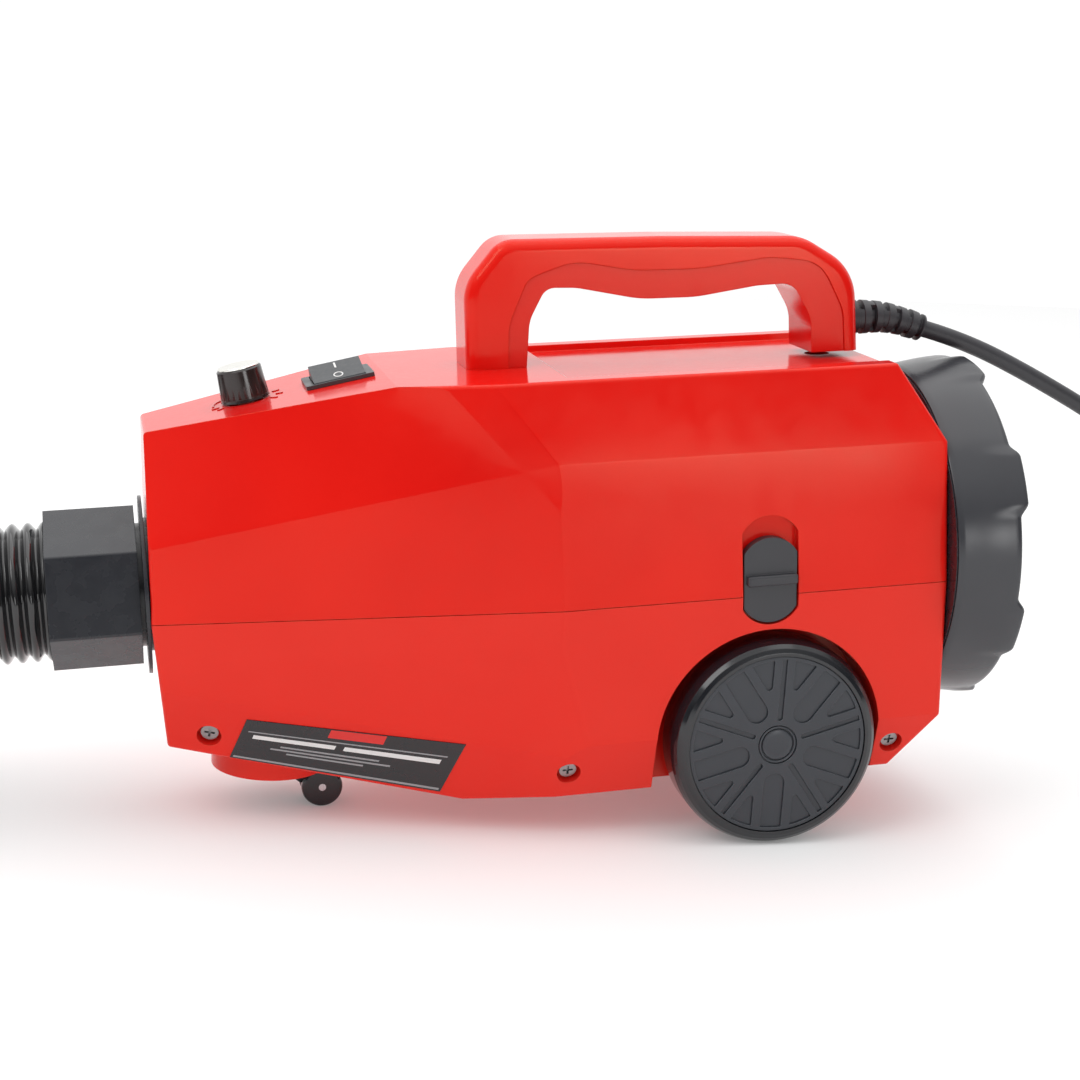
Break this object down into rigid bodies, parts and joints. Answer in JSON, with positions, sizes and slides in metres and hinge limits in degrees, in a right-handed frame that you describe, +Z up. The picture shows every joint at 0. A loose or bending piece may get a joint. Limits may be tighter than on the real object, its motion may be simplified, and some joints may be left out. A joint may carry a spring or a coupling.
{
  "type": "wheeled pet dryer",
  "caption": "Canister pet dryer: faceted red two-part case with carrying handle, speed knob, rocker switch, corrugated outlet hose, rear filter cap, road wheels and a swivel caster.",
  "frame": {"origin": "on the floor, midway along the machine between the ends of the outlet nut and the rear cap, in the vertical plane of symmetry of the case", "axes": "+X from the hose end towards the rear filter cap, +Y to the left of that travel, +Z up; the machine stands on its wheels and caster"},
  "size_m": [1.3109, 0.6252, 0.2802],
  "materials": {
    "red": "glossy moulded ABS",
    "black_satin": "satin",
    "black_gloss": "glossy",
    "tyre_black": "semi-gloss",
    "disc_grey": "matte",
    "steel": "brushed",
    "zinc_dark": "zinc plated",
    "copper": "copper winding",
    "foam": "open-cell foam",
    "board_green": "coated laminate",
    "aluminium": "as cast",
    "rubber_grey": "matte",
    "label_black": "printed film",
    "cord_black": "satin",
    "plastic_grey": "moulded",
    "silver": "bright"
  },
  "bodies": {
    "case": {"air_duct": "plastic_grey", "axle": "steel", "axle_bushes": "plastic_grey", "axle_clips": "steel", "board_posts": "red", "carbon_brushes": "rubber_grey", "case_screws": "zinc_dark", "caster_boss": "red", "control_board": "board_green", "cord_boot": "cord_black", "cord_coil": "cord_black", "fan_housing": "aluminium", "fan_plate": "aluminium", "filter_foam": "foam", "front_bearing": "steel", "handle_cover": "red", "handle_grip": "red", "heat_sink": "aluminium", "hose": "black_gloss", "hose_cuff": "black_gloss", "hose_nozzle": "black_satin", "intake_ring": "black_satin", "lower_shell": "red", "motor_can": "zinc_dark", "motor_cradle": "plastic_grey", "motor_ring_front": "rubber_grey", "motor_ring_rear": "rubber_grey", "motor_stator": "copper", "outlet_socket": "black_satin", "plug_body": "cord_black", "plug_pins": "steel", "pot_nut": "steel", "power_cord": "cord_black", "rating_label": "label_black", "rear_bearing": "steel", "speed_pot": "plastic_grey", "switch_body": "black_satin", "switch_tabs": "steel", "upper_shell": "red"},
    "wheel_right": {"tyre_right": "tyre_black", "wheel_disc_right": "disc_grey"},
    "wheel_left": {"tyre_left": "tyre_black", "wheel_disc_left": "disc_grey"},
    "caster": {"caster_stem": "steel", "caster_fork": "black_satin"},
    "caster_roller": {"caster_wheels": "tyre_black", "caster_pin": "steel"},
    "speed_knob": {"knob": "black_gloss", "knob_cap": "silver"},
    "power_rocker": {"rocker": "black_gloss"},
    "side_latch_right": {"latch_right": "black_satin"},
    "side_latch_left": {"latch_left": "black_satin"},
    "filter_cap": {"rear_cap": "black_satin"},
    "outlet_nut": {"hose_nut": "black_satin"},
    "motor_spindle": {"motor_shaft": "steel", "motor_rotor": "steel", "commutator": "copper", "impeller": "aluminium"}
  },
  "joints": [
    {"name": "wheel_right_spin", "type": "hinge", "parent": "case", "child": "wheel_right", "pos_m": [0.10725, -0.0599, 0.05], "axis": [0, 1, 0], "continuous": true},
    {"name": "wheel_left_spin", "type": "hinge", "parent": "case", "child": "wheel_left", "pos_m": [0.10725, 0.0599, 0.05], "axis": [0, 1, 0], "continuous": true},
    {"name": "caster_swivel", "type": "hinge", "parent": "case", "child": "caster", "pos_m": [-0.12054, 0, 0.03], "axis": [0, 0, 1], "continuous": true},
    {"name": "caster_roll", "type": "hinge", "parent": "caster", "child": "caster_roller", "pos_m": [-0.09604, 0, 0.0097], "axis": [0, 1, 0], "continuous": true},
    {"name": "knob_turn", "type": "hinge", "parent": "case", "child": "speed_knob", "pos_m": [-0.13669, 0, 0.19405], "axis": [-0.2487, 0, 0.9686], "range_deg": [0, 270]},
    {"name": "rocker_tilt", "type": "hinge", "parent": "case", "child": "power_rocker", "pos_m": [-0.09427, 0, 0.20184], "axis": [0.9686, 0, 0.2487], "range_deg": [-37, 0]},
    {"name": "latch_right_slide", "type": "slide", "parent": "case", "child": "side_latch_right", "axis": [-0.0802, 0, 0.9968], "range_m": [0, 0.009]},
    {"name": "latch_left_slide", "type": "slide", "parent": "case", "child": "side_latch_left", "axis": [-0.0802, 0, 0.9968], "range_m": [0, 0.009]},
    {"name": "cap_twist", "type": "hinge", "parent": "case", "child": "filter_cap", "pos_m": [0.18959, 0, 0.13879], "axis": [0.9968, 0, 0.0802], "range_deg": [-22, 0]},
    {"name": "nut_twist", "type": "hinge", "parent": "case", "child": "outlet_nut", "pos_m": [-0.20298, 0, 0.1053], "axis": [0.9968, 0, 0.0802], "range_deg": [0, 34]},
    {"name": "motor_spin", "type": "hinge", "parent": "case", "child": "motor_spindle", "pos_m": [-0.00797, 0, 0.1254], "axis": [0.9968, 0, 0.0802], "continuous": true}
  ]
}
